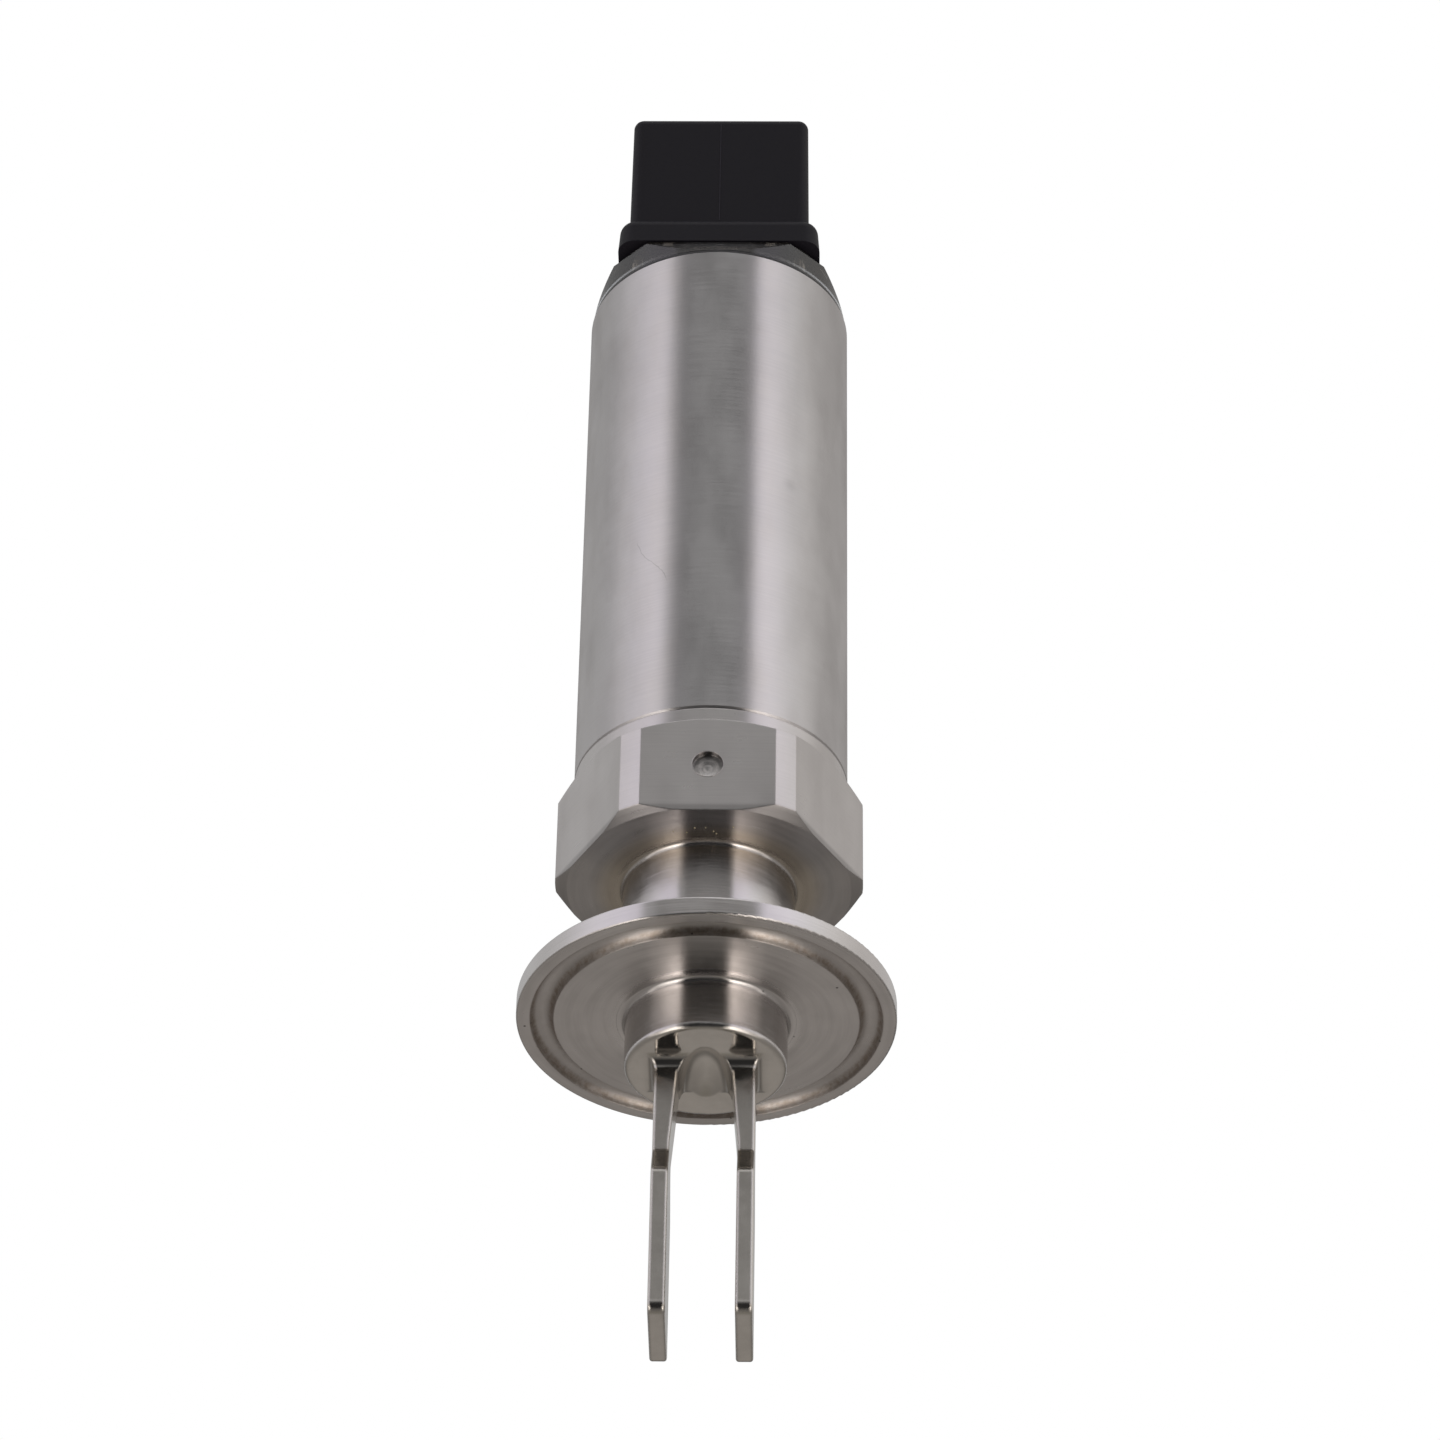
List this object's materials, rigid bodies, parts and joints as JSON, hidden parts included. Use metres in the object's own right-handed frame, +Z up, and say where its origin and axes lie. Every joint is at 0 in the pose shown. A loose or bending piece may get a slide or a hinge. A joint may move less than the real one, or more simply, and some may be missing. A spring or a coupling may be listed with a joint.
{
  "type": "tuning fork level switch",
  "caption": "Compact vibronic level switch: tuning fork on a clamp ferrule, hexagon body, steel tube housing, clear cover and square cable plug.",
  "frame": {"origin": "centre of the ferrule's flat sealing face", "axes": "+Z up the axis from the fork to the plug, +Y the way the cable entry points, -Y the hexagon flat with the alignment mark, X across the two tines"},
  "size_m": [0.0506, 0.0533, 0.2011],
  "materials": {
    "body_steel": "turned and brushed stainless steel",
    "fork_steel": "polished stainless steel",
    "tube_steel": "circumferentially brushed stainless steel",
    "screw_steel": "plain machined steel",
    "black_plastic": "moulded black polyamide, matt",
    "clear_plastic": "clear moulded polycarbonate",
    "seal_rubber": "black nitrile rubber",
    "carrier_plastic": "natural moulded plastic",
    "board_green": "green solder mask",
    "component_black": "black epoxy and nylon",
    "capacitor_case": "drawn can",
    "coil_ferrite": "wound ferrite core",
    "lamp_lens": "water clear lamp bodies",
    "piezo_ceramic": "sintered piezo ceramic",
    "insulator_ceramic": "ground insulating ceramic",
    "contact_metal": "tinned brass",
    "brass": "turned brass",
    "lead_insulation": "red and blue wire insulation"
  },
  "bodies": {
    "root": {"base_screws": "screw_steel", "board_carrier": "carrier_plastic", "capacitors": "capacitor_case", "chips": "component_black", "choke_coil": "coil_ferrite", "clear_cover": "clear_plastic", "connector_base": "black_plastic", "contact_blades": "contact_metal", "contact_leads": "lead_insulation", "cover_gasket": "seal_rubber", "cover_seal": "seal_rubber", "electrode_foils": "contact_metal", "fork_head": "fork_steel", "gland_grommet": "seal_rubber", "gland_nut": "black_plastic", "gland_washer": "black_plastic", "housing_seal": "seal_rubber", "housing_tube": "tube_steel", "insulating_washers": "insulator_ceramic", "lamp_board": "board_green", "lead_header": "component_black", "link_header": "component_black", "main_board": "board_green", "piezo_discs": "piezo_ceramic", "plug_contacts": "contact_metal", "plug_gasket": "seal_rubber", "plug_housing": "black_plastic", "plug_insert": "black_plastic", "plug_screw": "screw_steel", "pressure_screw": "screw_steel", "process_body": "body_steel", "screw_seal": "seal_rubber", "sensor_leads": "lead_insulation", "status_lamps": "lamp_lens", "terminal_screws": "screw_steel", "thread_insert": "brass", "thrust_piece": "screw_steel"}
  },
  "joints": []
}
